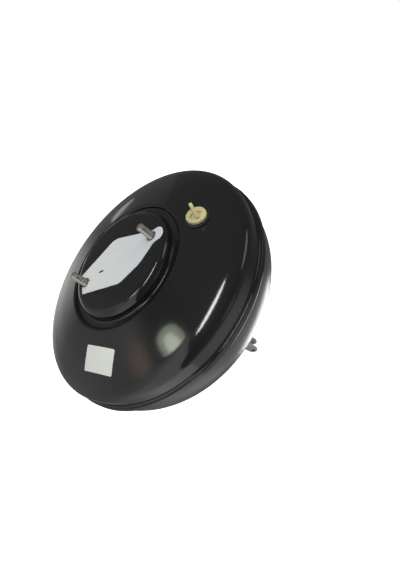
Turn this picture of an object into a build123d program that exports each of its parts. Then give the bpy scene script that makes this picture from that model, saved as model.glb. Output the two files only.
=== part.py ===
from build123d import *
import os
from math import atan2, cos, hypot, radians, sin, sqrt, tan

# Vacuum brake booster with one diaphragm. The casing's axis lies along Y: the master
# cylinder bolts on at -Y and the bulkhead and pedal are at +Y. +Z points from the axis
# to the vacuum port, along the line of the two master cylinder studs. The origin is the
# centre of the rear face, which seats on the bulkhead. Millimetres.

os.makedirs("parts", exist_ok=True)

# ---- Casing: rolled rim --------------------------------------------------------------------------
rim_radius = 136.0
rim_height = 6.8
rear_depth = 58.0          # bulkhead face to the rim's rear edge
front_depth = 59.0         # rim's rear edge to the plateau that carries the master cylinder
front_sheet = 1.6
rear_sheet = 1.5
rim_front_edge = 1.0
rim_rear_edge = 1.5
rim_overlap = 2.6          # how far the rolled edge reaches in behind the rear flange
rim_play = 0.2             # between the rear shell's flange and the rolled wall
loose_gap = 0.3            # between pieces that must not touch
running_gap = 0.05         # radial, between pieces that slide on each other

rim_rear_y = -rear_depth
rim_front_y = rim_rear_y - rim_height
plateau_y = rim_rear_y - front_depth
plateau_inner_y = plateau_y + front_sheet

# ---- Front shell ---------------------------------------------------------------------------------
spigot_radius = 24.5       # bore that takes the master cylinder's spigot
spigot_collar = 9.0        # depth of the collar drawn in round that bore
spigot_edge = 3.0
plateau_margin = 15.5      # stud's axis to the plateau's corner
plateau_edge = 8.0
groove_wall_draft = 0.6
groove_depth = 12.5        # plateau to the floor of the annular groove
groove_floor = 8.0
groove_width = 10.8        # plateau's corner to the groove's outer edge
groove_lip_drop = 8.4      # plateau to the groove's outer edge
groove_fillet = 2.6
crown_width = 34.1         # crown of the dome to its shoulder
dome_angle = 17.0          # degrees, of the dome inside its crown
shoulder_angle = 20.3      # degrees, from the crown to the shoulder
crown_fillet = 240.0
shoulder_bulge = 1.1       # shoulder beyond the foot of the flank
shoulder_fillet = 8.5
rim_flange = 3.0           # rim beyond the foot of the flank
flange_fillet = 2.2

# ---- Rear shell ----------------------------------------------------------------------------------
bowl_draft = 1.3           # rim to the knee of the bowl
knee_depth = 26.8          # rim's rear edge to the knee of the bowl
bowl_fillet = 58.0
bowl_lip_fillet = 0.4
bowl_slope_width = 31.6    # knee to where the slope would meet the rear face
rear_face_fillet = 22.0
neck_length = 22.0
neck_fillet = 3.5

# ---- Studs and the plates that carry them --------------------------------------------------------
stud_radius = 4.0          # M8
stud_neck_radius = 4.5     # knurled part, pressed into plate and sheet
stud_head_radius = 7.0
stud_head_height = 3.0
stud_chamfer = 0.8
front_stud_spacing = 90.0
front_stud_length = 18.0
rear_stud_spacing_x = 86.0
rear_stud_spacing_z = 70.0
rear_stud_length = 26.0
front_plate_sheet = 3.0
front_plate_margin = 6.5   # stud's axis to the plate's edge
front_plate_play = 1.4     # round the spigot's collar
rear_plate_sheet = 2.5
rear_plate_margin = 10.6
rear_plate_play = 1.4      # round the stop key's ends

# ---- Vacuum port ---------------------------------------------------------------------------------
port_offset = 19.4         # groove's outer edge to the middle of the port
port_hole = 9.5
grommet_bore = 7.3
grommet_flange = 12.4
grommet_flange_height = 2.2
grommet_tail = 11.4
grommet_tail_length = 3.4
plug_disc_radius = 10.3
plug_disc_height = 3.2
plug_disc_round = 1.1
plug_dish_radius = 8.3     # shallow dish inside the disc's rim
plug_dish_depth = 0.5
plug_pocket_near = 2.7     # tab's middle to the long side of a cored pocket
plug_pocket_far = 7.0
plug_pocket_half = 4.2
plug_pocket_depth = 1.3
plug_stem_length = 9.5
plug_tab_turn = 11.5       # degrees, of the tab's plane from X towards the shoulder
plug_tab_width = 5.0       # at its round top
plug_tab_half = 8.4        # half of its foot, which crosses the disc
plug_tab_sheet = 3.2
plug_tab_height = 13.0
plug_tab_round = 2.2
plug_nub_radius = 0.8      # gate mark on the disc's rim
plug_nub_turn = 16.0       # degrees, from the low end of the tab

# ---- Film and label ------------------------------------------------------------------------------
film_sheet = 0.5
film_stud_hole = 5.5
film_margin = 5.0          # stud's axis to the end of the outline
film_foot_half = 12.5      # half width at the -Z end
film_side_half = 31.0      # widest place
film_side_round = 16.0
film_head_half = 9.8       # half width at the +Z end, where the pull tab is
film_tab_reach = 14.0      # stud's axis to the end of the tab
film_tab_round = 7.0
film_slit_length = 5.5
film_slit_width = 0.9
film_slit_z = -23.0
label_width = 40.0
label_height = 25.0
label_round = 1.8
label_sheet = 0.2
label_glue = 0.05          # film of glue under the label
label_offset = 1.2         # label's middle inside the crown of the dome
label_angle = 119.6        # degrees from +Z towards +X
label_turn = 54.4          # degrees, of its long side from +X towards +Z

# ---- Power piston --------------------------------------------------------------------------------
stroke = 32.0
tube_radius = 20.5         # valve body's tube, which slides in the neck
tube_wall = 3.5
tube_overrun = 6.0         # tube behind the neck at full stroke
seal_width = 11.0          # ring between tube and neck, for the seal and the bush
hub_wall = 7.5             # hub beyond the tube
hub_flange_margin = 5.4    # hub's flange beyond the return spring
hub_flange_front_y = -22.0
hub_flange_rear_y = -14.0
nose_radius = 17.0
nose_front_y = -38.0
nose_wall = 4.5
disc_rear_y = -26.0
disc_height = 8.0
chamber_bore = 11.0        # round the plunger
chamber_front_y = -9.0
chamber_floor_y = 11.0     # floor of the poppet's chamber
seat_wall = 1.5            # ring that the poppet closes on
flange_rib_count = 8
flange_rib_sheet = 2.4
flange_rib_height = 3.4    # beside the nose, under the output rod's cup
tube_bevel = 1.0
passage_radius = 2.0
passage_offset = 5.5       # nose to the middle of a passage's front mouth
passage_count = 4

plate_sheet = 1.2
plate_flat_radius = 80.0
plate_rim_play = 24.0      # plate's rim to the casing's, for the rolling loop
plate_rim_drop = 20.0      # flat to the start of the rim
plate_rim_length = 18.0
plate_fillet = 6.0
rubber_sheet = 1.2
rubber_play = 0.3
rubber_hub_width = 5.0
rubber_hub_height = 3.0
rubber_loop_depth = 7.2    # loop ahead of the rim
rubber_bead = 6.6          # radial width of the clamped bead

# ---- Plunger, poppet and input rod ---------------------------------------------------------------
plunger_stroke = 2.0
poppet_stroke = 0.8        # plunger's rear end to the seat ring
key_sheet = 3.0
key_prong = 3.6            # width of each of the key's two prongs
key_landing = 3.0          # flat of the rear shell that the key's ends stop on
key_front_y = -4.8
plunger_nose_radius = 6.5
plunger_neck_radius = 5.5
plunger_collar_radius = 8.5
plunger_radius = 9.0
plunger_rear_y = 14.0
ball_radius = 5.0
ball_y = 8.0
mouth_play = 0.9           # socket's mouth round the rod's neck
mouth_flare = 1.5
poppet_bore = 7.2
poppet_play = 3.0          # poppet's face to the tube's bore
poppet_face = 3.0
poppet_wall = 1.0
poppet_bead_y = 24.0
poppet_bead = 2.5
retainer_front_y = 27.3
retainer_sheet = 1.2
retainer_bore = 9.8
retainer_skirt = 5.5
filter_front_y = 48.5
filter_depth = 6.0
silencer_depth = 4.0
filter_bore = 11.5

rod_rest_tilt = 5.3        # degrees: the free rod leans towards +Z at rest
fork_turn = 13.5           # degrees: the free fork is turned a little about the rod
rod_radius = 5.0
rod_front_radius = 4.4     # ahead of the shoulder that backs the spring's washer
rod_neck_radius = 3.2
rod_neck_end = 8.0         # from the ball's centre
rod_taper = 2.0
nut_start = 88.0
nut_height = 6.0
nut_flats = 14.0
fork_sheet = 3.2
fork_slot = 8.0
fork_pin_radius = 3.05
fork_pin_reach = 118.5     # ball's centre to the pin's axis
fork_end_radius = 5.8
fork_root_height = 15.0
fork_bend = 4.5            # outer radius of the fork's two bends
seat_washer_start = 36.0
seat_washer_sheet = 2.0
seat_washer_radius = 12.0

# ---- Springs -------------------------------------------------------------------------------------
return_seat = 1.9          # plate's bore to the inside of the coil
return_wire = 1.6
return_turns = 5.5
poppet_coil_radius = 10.4
poppet_wire = 0.6
poppet_turns = 3.0
rod_coil_radius = 10.4
rod_wire = 0.8
rod_turns = 4.0

# ---- Output rod ----------------------------------------------------------------------------------
output_head = 4.0
output_radius = 6.5
output_length = 39.0
adjuster_radius = 3.0
adjuster_flats = 9.0
adjuster_head = 4.0
retainer_cup_wall = 0.8
retainer_cup_bore = 8.0

# ---- Neck ----------------------------------------------------------------------------------------
seal_front_y = 5.0
seal_depth = 8.5
seal_ring_width = 3.2      # seal's ring, in the neck
seal_web = 2.6             # its rear wall
seal_lip_sheet = 1.8
seal_lip_lean = 2.4        # lip's root, off the tube
seal_lip_edge = 1.2
bush_depth = 6.5
seal_ring_sheet = 1.5
seal_ring_play = 2.5
boot_sheet = 1.4
boot_collar_y = 8.0
boot_folds = 4
boot_fold_depth = 6.5
boot_front_step = 7.0      # neck to the first fold's root
boot_rear_step = 2.1       # tube to the last fold's root
boot_rear_collar = 6.5
boot_mouth = 12.0

flank_radius = rim_radius - rim_flange
shoulder_radius = flank_radius + shoulder_bulge
crown_radius = shoulder_radius - crown_width
plateau_radius = front_stud_spacing / 2 + plateau_margin
groove_lip_radius = plateau_radius + groove_width
port_radius = groove_lip_radius + port_offset
label_radius = crown_radius - label_offset
dome_slope = radians(dome_angle)
shoulder_slope = radians(shoulder_angle)
crown_drop = groove_lip_drop + (crown_radius - groove_lip_radius) * tan(dome_slope)
shoulder_drop = crown_drop + crown_width * tan(shoulder_slope)
bowl_radius = rim_radius - rim_overlap - loose_gap - bowl_lip_fillet
knee_radius = bowl_radius - bowl_draft
rear_face_radius = knee_radius - bowl_slope_width
rear_inner_y = -rear_sheet
tube_bore = tube_radius - tube_wall
neck_bore = tube_radius + seal_width
neck_radius = neck_bore + rear_sheet
neck_end_y = neck_length
tube_end_y = neck_length + stroke + tube_overrun
hub_radius = tube_radius + hub_wall
disc_radius = nose_radius - nose_wall
poppet_radius = tube_bore - poppet_play
front_plate_radius = front_stud_spacing / 2 + front_plate_margin
front_plate_bore = spigot_radius + front_sheet + front_plate_play
return_coil_radius = front_plate_bore + return_seat + return_wire
hub_flange_radius = return_coil_radius + return_wire + hub_flange_margin
key_slot_half = plunger_neck_radius + loose_gap
key_half_width = key_slot_half + key_prong
key_half_length = neck_radius + neck_fillet + key_landing
rear_plate_bore = hypot(key_half_length, key_half_width) + rear_plate_play
rear_plate_radius = hypot(rear_stud_spacing_x, rear_stud_spacing_z) / 2 + rear_plate_margin
plate_rim_radius = rim_radius - plate_rim_play


def sheet_section(points, radii, thickness, side):
    """A pressed sheet's section: a filleted (radius, y) line thickened to one side."""
    with BuildSketch(Plane.XY) as section:
        with BuildLine():
            centre = FilletPolyline(*points, radius=radii)
            offset(centre, amount=thickness, side=side, closed=True)
        make_face()
    return section.sketch


def turned_section(points):
    """A turned piece's section from its (radius, y) corners."""
    with BuildSketch(Plane.XY) as section:
        with BuildLine():
            Polyline(*points, close=True)
        make_face()
    return section.sketch


def ring_section(inner, outer, y_front, y_rear):
    """A plain ring's section, between two radii and two stations along Y."""
    return turned_section(
        [(inner, y_front), (outer, y_front), (outer, y_rear), (inner, y_rear)]
    )


def station(y):
    """The plane across the axis at y. It faces the master cylinder, with its y along +Z."""
    return Plane.XZ.offset(-y)


def coil_path(mean_radius, wire, start, end, turns, plane):
    """A coil's centre line along the plane's z, with its wire inside start and end."""
    height = end - start - 2 * wire
    helix = Helix(pitch=height / turns, height=height, radius=mean_radius)
    return plane * Pos(0, 0, start + wire) * helix


def save(builder, name):
    """Labels a finished piece and writes it."""
    builder.part.label = name
    export_step(builder.part, f"parts/{name}.step")


# ---- Front shell: one drawing, from the spigot's collar out to the rolled rim --------------------
front_shell_line = [
    (spigot_radius, plateau_y + spigot_collar),
    (spigot_radius, plateau_y),
    (plateau_radius, plateau_y),
    (plateau_radius + groove_wall_draft, plateau_y + groove_depth),
    (plateau_radius + groove_floor, plateau_y + groove_depth),
    (groove_lip_radius, plateau_y + groove_lip_drop),
    (crown_radius, plateau_y + crown_drop),
    (shoulder_radius, plateau_y + shoulder_drop),
    (flank_radius, rim_front_y),
    (rim_radius, rim_front_y),
    (rim_radius, rim_rear_y),
    (rim_radius - rim_overlap, rim_rear_y),
]
front_shell_radii = [
    spigot_edge,
    plateau_edge,
    groove_fillet,
    groove_fillet,
    groove_fillet,
    crown_fillet,
    shoulder_fillet,
    flange_fillet,
    rim_front_edge,
    rim_rear_edge,
]
front_stud_places = GridLocations(0, front_stud_spacing, 1, 2)
rear_stud_places = GridLocations(rear_stud_spacing_x, rear_stud_spacing_z, 2, 2)

port_centre_y = plateau_y + groove_lip_drop + (port_radius - groove_lip_radius) * tan(dome_slope)
port_axis = (0, -cos(dome_slope), sin(dome_slope))
port_plane = Plane(origin=(0, port_centre_y, port_radius), x_dir=(1, 0, 0), z_dir=port_axis)

with BuildPart() as front_shell:
    add(sheet_section(front_shell_line, front_shell_radii, front_sheet, Side.LEFT))
    revolve(axis=Axis.Y)
    with BuildSketch(station(plateau_y)):
        with front_stud_places:
            Circle(stud_neck_radius)
    extrude(amount=-2 * front_sheet, mode=Mode.SUBTRACT)
    with BuildSketch(port_plane):
        Circle(port_hole)
    extrude(amount=3 * front_sheet, both=True, mode=Mode.SUBTRACT)
save(front_shell, "front_shell")

# ---- Rear shell: flange in the rolled rim, bowl, bulkhead face and neck --------------------------
rear_flange_y = rim_rear_y - front_sheet
rear_shell_line = [
    (rim_radius - front_sheet - rim_play, rear_flange_y),
    (bowl_radius, rear_flange_y),
    (knee_radius, rim_rear_y + knee_depth),
    (rear_face_radius, 0),
    (neck_radius, 0),
    (neck_radius, neck_end_y),
]
rear_shell_radii = [bowl_lip_fillet, bowl_fillet, rear_face_fillet, neck_fillet]
with BuildPart() as rear_shell:
    add(sheet_section(rear_shell_line, rear_shell_radii, rear_sheet, Side.LEFT))
    revolve(axis=Axis.Y)
    with BuildSketch(station(0)):
        with rear_stud_places:
            Circle(stud_neck_radius)
    extrude(amount=2 * rear_sheet, both=True, mode=Mode.SUBTRACT)
save(rear_shell, "rear_shell")

# ---- Reinforcement plates and their studs --------------------------------------------------------
front_plate_rear_y = plateau_inner_y + front_plate_sheet
with BuildPart() as front_plate:
    with BuildSketch(station(front_plate_rear_y)):
        Circle(front_plate_radius)
        Circle(front_plate_bore, mode=Mode.SUBTRACT)
        with front_stud_places:
            Circle(stud_neck_radius, mode=Mode.SUBTRACT)
    extrude(amount=front_plate_sheet)
save(front_plate, "front_reinforcement_plate")

rear_plate_front_y = rear_inner_y - rear_plate_sheet
with BuildPart() as rear_plate:
    with BuildSketch(station(rear_inner_y)):
        Circle(rear_plate_radius)
        Circle(rear_plate_bore, mode=Mode.SUBTRACT)
        with rear_stud_places:
            Circle(stud_neck_radius, mode=Mode.SUBTRACT)
    extrude(amount=rear_plate_sheet)
save(rear_plate, "rear_reinforcement_plate")

with BuildPart() as front_studs:
    with BuildSketch(station(front_plate_rear_y)):
        with front_stud_places:
            Circle(stud_head_radius)
    extrude(amount=-stud_head_height)
    with BuildSketch(station(front_plate_rear_y)):
        with front_stud_places:
            Circle(stud_neck_radius)
    extrude(amount=front_plate_sheet + front_sheet)
    with BuildSketch(station(plateau_y)):
        with front_stud_places:
            Circle(stud_radius)
    extrude(amount=front_stud_length)
    chamfer(front_studs.faces().sort_by(Axis.Y)[:2].edges(), stud_chamfer)
save(front_studs, "master_cylinder_studs")

with BuildPart() as rear_studs:
    with BuildSketch(station(rear_plate_front_y)):
        with rear_stud_places:
            Circle(stud_head_radius)
    extrude(amount=stud_head_height)
    with BuildSketch(station(rear_plate_front_y)):
        with rear_stud_places:
            Circle(stud_neck_radius)
    extrude(amount=rear_plate_front_y)
    with BuildSketch(station(0)):
        with rear_stud_places:
            Circle(stud_radius)
    extrude(amount=-rear_stud_length)
    chamfer(rear_studs.faces().sort_by(Axis.Y)[-4:].edges(), stud_chamfer)
save(rear_studs, "bulkhead_studs")

# ---- Film over the spigot's bore: the outline of a master cylinder's flange ----------------------
film_end_z = front_stud_spacing / 2 + film_margin
film_tab_z = front_stud_spacing / 2 + film_tab_reach
film_outline = [
    (-film_foot_half, -film_end_z),
    (film_foot_half, -film_end_z),
    (film_side_half, 0),
    (film_head_half, film_end_z),
    (-film_head_half, film_end_z),
    (-film_side_half, 0),
]
with BuildPart() as film:
    with BuildSketch(station(plateau_y)) as film_face:
        with BuildLine():
            Polyline(*film_outline, close=True)
        make_face()
        fillet(film_face.vertices().group_by(Axis.X)[0], film_side_round)
        fillet(film_face.vertices().group_by(Axis.X)[-1], film_side_round)
        with Locations((0, film_tab_z / 2)):
            RectangleRounded(2 * film_head_half, film_tab_z, film_tab_round)
        with front_stud_places:
            Circle(film_stud_hole, mode=Mode.SUBTRACT)
        with Locations((0, film_slit_z)):
            SlotOverall(film_slit_length, film_slit_width, rotation=90, mode=Mode.SUBTRACT)
    extrude(amount=film_sheet)
save(film, "flange_film")

# ---- Label: a rounded rectangle that lies on the dome --------------------------------------------
label_reach = (label_width + label_height) / 2
label_crown_y = plateau_y + crown_drop - label_glue / cos(dome_slope)
label_line = [
    (crown_radius - label_reach, label_crown_y - label_reach * tan(dome_slope)),
    (crown_radius, label_crown_y),
    (crown_radius + label_reach, label_crown_y + label_reach * tan(shoulder_slope)),
]
label_centre = (
    label_radius * sin(radians(label_angle)),
    label_radius * cos(radians(label_angle)),
)
with BuildPart() as label:
    add(sheet_section(label_line, [crown_fillet], label_sheet, Side.RIGHT))
    revolve(axis=Axis.Y)
    with BuildSketch(station(rim_front_y)):
        with Locations(label_centre):
            RectangleRounded(
                label_width,
                label_height * cos(dome_slope),
                label_round,
                rotation=label_turn,
            )
    extrude(amount=front_depth, mode=Mode.INTERSECT)
save(label, "label")

# ---- Grommet in the dome, turned about the port's axis -------------------------------------------
port_profile = Plane(
    origin=port_plane.origin,
    x_dir=(1, 0, 0),
    z_dir=(0, -sin(dome_slope), -cos(dome_slope)),
)
port_turn_axis = Axis(port_plane.origin, port_axis)
grommet_tail_top = -front_sheet - loose_gap
with BuildPart() as grommet:
    with BuildSketch(port_profile):
        with BuildLine():
            Polyline(
                (grommet_bore, grommet_tail_top - grommet_tail_length),
                (port_hole, grommet_tail_top - grommet_tail_length),
                (grommet_tail, grommet_tail_top),
                (port_hole, grommet_tail_top),
                (port_hole, 0),
                (grommet_flange, 0),
                (grommet_flange, grommet_flange_height / 2),
                (grommet_flange - grommet_flange_height / 2, grommet_flange_height),
                (grommet_bore, grommet_flange_height),
                close=True,
            )
        make_face()
    revolve(axis=port_turn_axis)
save(grommet, "vacuum_port_grommet")

# ---- Transport plug: stem, dished disc with two cored pockets, and a pull tab --------------------
plug_base = grommet_flange_height + loose_gap
plug_top = plug_base + plug_disc_height
plug_turn = radians(plug_tab_turn)
plug_across = (
    cos(plug_turn),
    sin(plug_turn) * sin(dome_slope),
    sin(plug_turn) * cos(dome_slope),
)
plug_face = Plane(origin=port_plane.offset(plug_top).origin, x_dir=plug_across, z_dir=port_axis)
plug_tab_plane = Plane(
    origin=plug_face.origin,
    x_dir=plug_across,
    z_dir=plug_face.x_dir.cross(plug_face.z_dir),
)
plug_pocket = [
    (-plug_pocket_half, plug_pocket_near),
    (plug_pocket_half, plug_pocket_near),
    (0, plug_pocket_far),
]
plug_nub_angle = radians(plug_nub_turn)
plug_nub_place = (plug_disc_radius * cos(plug_nub_angle), plug_disc_radius * sin(plug_nub_angle))
with BuildPart() as plug:
    with BuildSketch(plug_face):
        Circle(plug_disc_radius)
    extrude(amount=-plug_disc_height)
    fillet(plug.faces().sort_by(port_turn_axis)[-1].edges(), plug_disc_round)
    with BuildSketch(plug_face):
        Circle(plug_dish_radius)
    extrude(amount=-plug_dish_depth, mode=Mode.SUBTRACT)
    with BuildSketch(plug_face):
        with PolarLocations(0, 2):
            Polygon(*plug_pocket, align=None)
    extrude(amount=-plug_dish_depth - plug_pocket_depth, mode=Mode.SUBTRACT)
    with BuildSketch(plug_face.offset(-plug_disc_height)):
        Circle(grommet_bore - running_gap)
    extrude(amount=plug_disc_height - plug_stem_length)
    with BuildSketch(plug_face.offset(-plug_disc_height)):
        with Locations(plug_nub_place):
            Circle(plug_nub_radius)
    extrude(amount=plug_disc_height)
    with BuildSketch(plug_tab_plane) as tab_outline:
        with BuildLine():
            Polyline(
                (-plug_tab_half, -plug_dish_depth),
                (plug_tab_half, -plug_dish_depth),
                (plug_tab_width / 2, plug_tab_height),
                (-plug_tab_width / 2, plug_tab_height),
                close=True,
            )
        make_face()
        fillet(tab_outline.vertices().group_by(plug_tab_plane.location.y_axis)[-1], plug_tab_round)
    extrude(amount=plug_tab_sheet / 2, both=True)
save(plug, "vacuum_plug")

# ---- Valve body: nose, flange, hub and tube in one moulding --------------------------------------
seat_rear_y = plunger_rear_y - poppet_stroke
disc_bore = disc_radius + running_gap
valve_body_corners = [
    (disc_bore, nose_front_y),
    (nose_radius, nose_front_y),
    (nose_radius, hub_flange_front_y),
    (hub_flange_radius, hub_flange_front_y),
    (hub_flange_radius, hub_flange_rear_y),
    (hub_radius, hub_flange_rear_y),
    (hub_radius, 0),
    (tube_radius, 0),
    (tube_radius, tube_end_y - tube_bevel),
    (tube_radius - tube_bevel, tube_end_y),
    (tube_bore, tube_end_y),
    (tube_bore, chamber_floor_y),
    (chamber_bore + seat_wall, chamber_floor_y),
    (chamber_bore + seat_wall, seat_rear_y),
    (chamber_bore, seat_rear_y),
    (chamber_bore, chamber_front_y),
    (plunger_nose_radius, chamber_front_y),
    (plunger_nose_radius, disc_rear_y),
    (disc_bore, disc_rear_y),
]
key_slot_front_y = key_front_y - 4 * loose_gap
key_slot_rear_y = rear_inner_y
passage_rear = (chamber_bore + seat_wall + tube_bore) / 2
passage_front = nose_radius + passage_offset
passage_lean = atan2(passage_front - passage_rear, chamber_floor_y - hub_flange_front_y)
passage_length = (chamber_floor_y - hub_flange_front_y) / cos(passage_lean)
flange_rib_front_y = hub_flange_front_y - flange_rib_height
flange_rib_reach = return_coil_radius - return_wire - loose_gap
with BuildPart() as valve_body:
    add(turned_section(valve_body_corners))
    revolve(axis=Axis.Y)
    for index in range(flange_rib_count):
        with BuildSketch(Plane.XY.rotated((0, 360 * (index + 0.5) / flange_rib_count, 0))):
            with BuildLine():
                Polyline(
                    (nose_radius - loose_gap, hub_flange_front_y),
                    (nose_radius - loose_gap, flange_rib_front_y),
                    (nose_radius + flange_rib_height, flange_rib_front_y),
                    (flange_rib_reach, hub_flange_front_y),
                    close=True,
                )
            make_face()
        extrude(amount=flange_rib_sheet / 2, both=True)
    with BuildSketch(station(key_slot_rear_y)):
        Rectangle(2 * hub_flange_radius, 2 * (key_half_width + loose_gap))
    extrude(amount=key_slot_rear_y - key_slot_front_y, mode=Mode.SUBTRACT)
    for index in range(passage_count):
        turn = radians(360 * (index + 0.5) / passage_count)
        outward = Vector(sin(turn), 0, cos(turn))
        mouth = outward * passage_rear + Vector(0, chamber_floor_y, 0)
        run = outward * sin(passage_lean) - Vector(0, cos(passage_lean), 0)
        with BuildSketch(Plane(origin=mouth - run, z_dir=run)):
            Circle(passage_radius)
        extrude(amount=passage_length + 2, mode=Mode.SUBTRACT)
save(valve_body, "valve_body")

# ---- Diaphragm plate and rolling diaphragm -------------------------------------------------------
plate_slope = atan2(plate_rim_drop, plate_rim_radius - plate_flat_radius)
plate_line = [
    (hub_radius, hub_flange_rear_y),
    (plate_flat_radius, hub_flange_rear_y),
    (plate_rim_radius, hub_flange_rear_y - plate_rim_drop),
    (plate_rim_radius, hub_flange_rear_y - plate_rim_drop - plate_rim_length),
]
with BuildPart() as diaphragm_plate:
    add(sheet_section(plate_line, [plate_fillet, plate_fillet], plate_sheet, Side.LEFT))
    revolve(axis=Axis.Y)
save(diaphragm_plate, "diaphragm_plate")

rubber_step = plate_sheet + rubber_play
rubber_edge_radius = rim_radius - front_sheet - rim_play
rubber_loop_y = rim_front_y - rubber_loop_depth
rubber_loop_outer = rubber_edge_radius - rubber_bead + rubber_sheet
rubber_hub_radius = hub_radius + loose_gap + rubber_hub_width
rubber_flat_y = hub_flange_rear_y + rubber_step
rubber_rim_radius = plate_rim_radius + rubber_step
rubber_corner_y = hub_flange_rear_y - plate_rim_drop + rubber_step * tan((radians(90) - plate_slope) / 2)
bead_front_y = rim_front_y + front_sheet
bead_rear_y = rear_flange_y - rear_sheet
loop_radius = (rubber_loop_outer - rubber_rim_radius) / 2 - running_gap
rubber_line = [
    (hub_radius + loose_gap, rubber_flat_y),
    (plate_flat_radius + rubber_step * tan(plate_slope / 2), rubber_flat_y),
    (rubber_rim_radius, rubber_corner_y),
    (rubber_rim_radius, rubber_loop_y),
    (rubber_loop_outer, rubber_loop_y),
    (rubber_loop_outer, bead_rear_y),
]
rubber_radii = [plate_fillet + rubber_step, plate_fillet + rubber_step, loop_radius, loop_radius]
with BuildPart() as diaphragm:
    add(sheet_section(rubber_line, rubber_radii, rubber_sheet, Side.LEFT))
    add(
        ring_section(
            rubber_loop_outer - rubber_sheet,
            rubber_edge_radius,
            bead_front_y,
            bead_rear_y,
        )
    )
    add(
        ring_section(
            hub_radius + loose_gap,
            rubber_hub_radius,
            rubber_flat_y,
            rubber_flat_y + rubber_hub_height,
        )
    )
    revolve(axis=Axis.Y)
save(diaphragm, "diaphragm")

# ---- Neck: seal, guide bush, ring and dust boot --------------------------------------------------
bush_front_y = seal_front_y + seal_depth
bush_rear_y = bush_front_y + bush_depth
seal_web_y = bush_front_y - seal_web
lip_radius = tube_radius + loose_gap
lip_root_radius = tube_radius + seal_lip_lean
seal_corners = [
    (neck_bore, seal_front_y),
    (neck_bore, bush_front_y),
    (lip_root_radius, bush_front_y),
    (lip_radius, seal_front_y + seal_lip_edge),
    (lip_radius + seal_lip_sheet, seal_front_y),
    (lip_root_radius + seal_lip_sheet, seal_web_y),
    (neck_bore - seal_ring_width, seal_web_y),
    (neck_bore - seal_ring_width, seal_front_y),
]
with BuildPart() as neck_seal:
    add(turned_section(seal_corners))
    revolve(axis=Axis.Y)
save(neck_seal, "neck_seal")

with BuildPart() as guide_bush:
    add(ring_section(tube_radius + running_gap, neck_bore, bush_front_y, bush_rear_y))
    revolve(axis=Axis.Y)
save(guide_bush, "guide_bush")

with BuildPart() as seal_ring:
    add(ring_section(tube_radius + seal_ring_play, neck_bore, bush_rear_y, bush_rear_y + seal_ring_sheet))
    revolve(axis=Axis.Y)
save(seal_ring, "neck_seal_ring")

boot_start_y = neck_end_y + boot_sheet
boot_rear_y = tube_end_y + boot_sheet
boot_end_y = boot_rear_y - boot_rear_collar
boot_front_root = neck_radius - boot_front_step
boot_rear_root = tube_radius + boot_rear_step
fold_pitch = (boot_end_y - boot_start_y) / (boot_folds + 0.5)
boot_line = [(neck_radius, boot_collar_y), (neck_radius, boot_start_y)]
for fold in range(boot_folds + 1):
    share = fold / boot_folds
    fold_root = boot_front_root + share * (boot_rear_root - boot_front_root)
    root_y = boot_start_y + (fold + 0.25) * fold_pitch
    boot_line.append((fold_root, root_y))
    if fold < boot_folds:
        boot_line.append((fold_root + boot_fold_depth, root_y + fold_pitch / 2))
boot_line.append((tube_radius, boot_end_y))
boot_line.append((tube_radius, boot_rear_y))
boot_line.append((boot_mouth, boot_rear_y))
with BuildPart() as dust_boot:
    add(sheet_section(boot_line, boot_sheet / 2, boot_sheet, Side.RIGHT))
    revolve(axis=Axis.Y)
save(dust_boot, "dust_boot")

# ---- Reaction disc, output rod and the cup that holds them ---------------------------------------
disc_front_y = disc_rear_y - disc_height
with BuildPart() as reaction_disc:
    with BuildSketch(station(disc_rear_y)):
        Circle(disc_radius)
    extrude(amount=disc_height)
save(reaction_disc, "reaction_disc")

output_front_y = disc_front_y - output_head - output_length
with BuildPart() as output_rod:
    with BuildSketch(station(disc_front_y)):
        Circle(disc_radius)
    extrude(amount=output_head)
    with BuildSketch(station(disc_front_y - output_head)):
        Circle(output_radius)
    extrude(amount=output_length)
    with BuildSketch(station(output_front_y)):
        Circle(adjuster_radius)
    extrude(amount=-output_length / 2, mode=Mode.SUBTRACT)
save(output_rod, "output_rod")

with BuildPart() as adjuster:
    with BuildSketch(station(output_front_y)):
        RegularPolygon(adjuster_flats / 2, 6, major_radius=False)
    extrude(amount=adjuster_head)
    fillet(adjuster.faces().sort_by(Axis.Y)[0].edges(), adjuster_head / 4)
    with BuildSketch(station(output_front_y)):
        Circle(adjuster_radius)
    extrude(amount=-output_length / 3)
save(adjuster, "output_rod_adjuster")

cup_front_y = nose_front_y - loose_gap - retainer_cup_wall
with BuildPart() as cup:
    add(
        turned_section(
            [
                (retainer_cup_bore, cup_front_y),
                (nose_radius + retainer_cup_wall, cup_front_y),
                (nose_radius + retainer_cup_wall, disc_rear_y),
                (nose_radius, disc_rear_y),
                (nose_radius, cup_front_y + retainer_cup_wall),
                (retainer_cup_bore, cup_front_y + retainer_cup_wall),
            ]
        )
    )
    revolve(axis=Axis.Y)
save(cup, "output_rod_retainer")

# ---- Stop key: a forked plate through the hub, round the plunger's neck --------------------------
with BuildPart() as stop_key:
    with BuildSketch(station(key_front_y + key_sheet)):
        Rectangle(2 * key_half_length, 2 * key_half_width)
        Circle(key_slot_half, mode=Mode.SUBTRACT)
        with Locations((key_half_length / 2, 0)):
            Rectangle(key_half_length, 2 * key_slot_half, mode=Mode.SUBTRACT)
    extrude(amount=key_sheet)
save(stop_key, "stop_key")

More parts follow.
